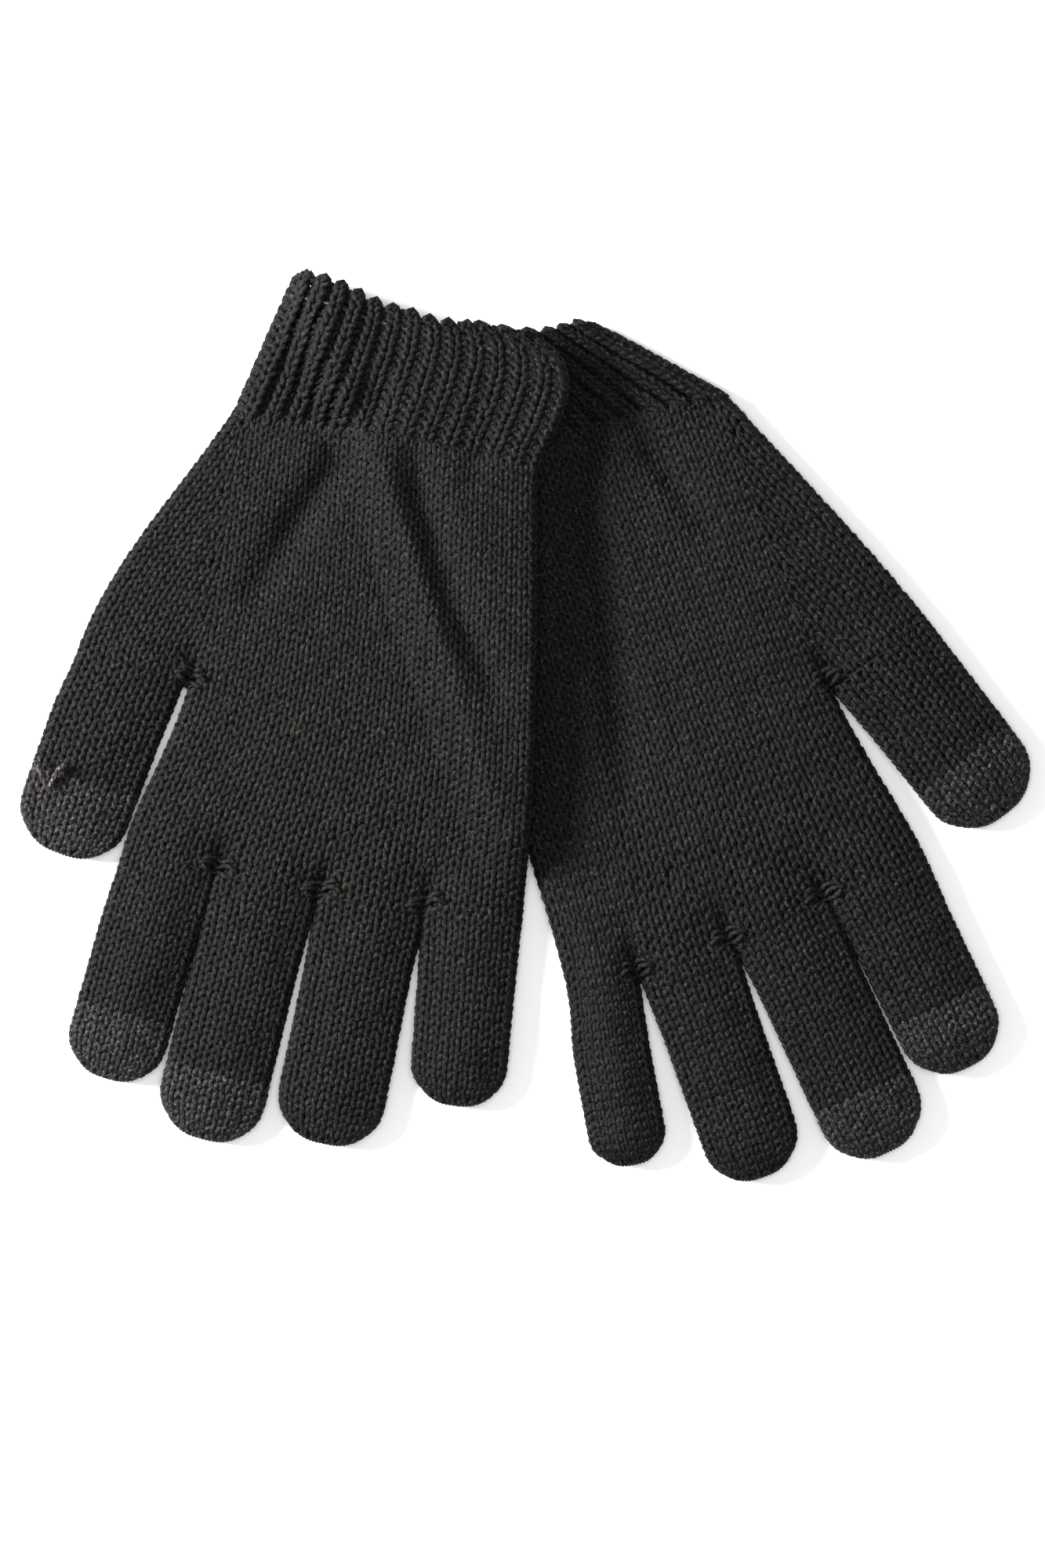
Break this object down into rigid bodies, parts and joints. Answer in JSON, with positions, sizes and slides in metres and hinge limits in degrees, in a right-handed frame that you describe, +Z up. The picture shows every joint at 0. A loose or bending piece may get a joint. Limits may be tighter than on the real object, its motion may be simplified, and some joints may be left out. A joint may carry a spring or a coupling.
{
  "type": "touchscreen gloves",
  "caption": "Pair of knitted gloves with ribbed cuffs and conductive thumb, index and middle fingertips, lying flat with one glove partly over the other.",
  "frame": {"origin": "on the resting surface, under the middle of the pair's bounding box", "axes": "+Z up from the surface; the fingers point towards -Y and the cuffs towards +Y; +X is to the right seen from above, and the left glove is on the -X side"},
  "size_m": [0.2424, 0.219, 0.0163],
  "materials": {
    "black_yarn": "matt two-ply acrylic knit, charcoal black",
    "conductive_yarn": "matt knit with a faint sheen, dark grey",
    "elastic_thread": "satin covered elastic"
  },
  "bodies": {
    "right_palm": {"right_lower_palm": "black_yarn", "right_upper_palm": "black_yarn", "right_closing_stitch_1": "black_yarn", "right_closing_stitch_2": "black_yarn", "right_closing_stitch_3": "black_yarn", "right_closing_stitch_4": "black_yarn", "right_cuff": "black_yarn", "right_cuff_edge": "black_yarn", "right_cuff_elastic_1": "elastic_thread", "right_cuff_elastic_2": "elastic_thread"},
    "left_palm": {"left_lower_palm": "black_yarn", "left_upper_palm": "black_yarn", "left_closing_stitch_1": "black_yarn", "left_closing_stitch_2": "black_yarn", "left_closing_stitch_3": "black_yarn", "left_closing_stitch_4": "black_yarn"},
    "left_cuff": {"left_cuff": "black_yarn", "left_cuff_edge": "black_yarn", "left_cuff_elastic_1": "elastic_thread", "left_cuff_elastic_2": "elastic_thread"},
    "right_thumb": {"right_thumb_finger": "black_yarn", "right_thumb_tip": "conductive_yarn"},
    "right_index": {"right_index_finger": "black_yarn", "right_index_tip": "conductive_yarn"},
    "right_middle": {"right_middle_finger": "black_yarn", "right_middle_tip": "conductive_yarn"},
    "right_ring": {"right_ring_finger": "black_yarn"},
    "right_little": {"right_little_finger": "black_yarn"},
    "left_thumb": {"left_thumb_finger": "black_yarn", "left_thumb_tip": "conductive_yarn", "left_thumb_yarn_tail": "conductive_yarn"},
    "left_index": {"left_index_finger": "black_yarn", "left_index_tip": "conductive_yarn"},
    "left_middle": {"left_middle_finger": "black_yarn", "left_middle_tip": "conductive_yarn"},
    "left_ring": {"left_ring_finger": "black_yarn"},
    "left_little": {"left_little_finger": "black_yarn"}
  },
  "joints": [
    {"name": "left_glove_lift", "type": "slide", "parent": "right_palm", "child": "left_palm", "axis": [0, 0, 1], "range_m": [0, 0.08]},
    {"name": "left_cuff_fold", "type": "hinge", "parent": "left_palm", "child": "left_cuff", "pos_m": [-0.03425, 0.06975, 0.0163], "axis": [0.9816, -0.191, 0], "range_deg": [0, 60]},
    {"name": "right_thumb_bend", "type": "hinge", "parent": "right_palm", "child": "right_thumb", "pos_m": [0.0861, 0.018, 0.008], "axis": [-0.788, -0.6157, 0], "range_deg": [0, 90]},
    {"name": "right_index_bend", "type": "hinge", "parent": "right_palm", "child": "right_index", "pos_m": [0.0849, -0.0361, 0.008], "axis": [-0.8988, -0.4384, 0], "range_deg": [0, 90]},
    {"name": "right_middle_bend", "type": "hinge", "parent": "right_palm", "child": "right_middle", "pos_m": [0.0609, -0.0472, 0.008], "axis": [-0.9063, -0.4226, 0], "range_deg": [0, 90]},
    {"name": "right_ring_bend", "type": "hinge", "parent": "right_palm", "child": "right_ring", "pos_m": [0.0383, -0.0564, 0.008], "axis": [-0.9426, -0.3338, 0], "range_deg": [0, 90]},
    {"name": "right_little_bend", "type": "hinge", "parent": "right_palm", "child": "right_little", "pos_m": [0.0183, -0.0623, 0.008], "axis": [-0.9833, -0.1822, 0], "range_deg": [0, 90]},
    {"name": "left_thumb_bend", "type": "hinge", "parent": "left_palm", "child": "left_thumb", "pos_m": [-0.0963, 0.0155, 0.008], "axis": [-0.9397, 0.342, 0], "range_deg": [0, 90]},
    {"name": "left_index_bend", "type": "hinge", "parent": "left_palm", "child": "left_index", "pos_m": [-0.0866, -0.032, 0.008], "axis": [-0.9613, 0.2756, 0], "range_deg": [0, 90]},
    {"name": "left_middle_bend", "type": "hinge", "parent": "left_palm", "child": "left_middle", "pos_m": [-0.0627, -0.0386, 0.008], "axis": [-0.9703, 0.2419, 0], "range_deg": [0, 90]},
    {"name": "left_ring_bend", "type": "hinge", "parent": "left_palm", "child": "left_ring", "pos_m": [-0.0374, -0.0429, 0.008], "axis": [-0.9799, 0.1994, 0], "range_deg": [0, 90]},
    {"name": "left_little_bend", "type": "hinge", "parent": "left_palm", "child": "left_little", "pos_m": [-0.0126, -0.0447, 0.008], "axis": [-0.9962, 0.0872, 0], "range_deg": [0, 90]}
  ]
}
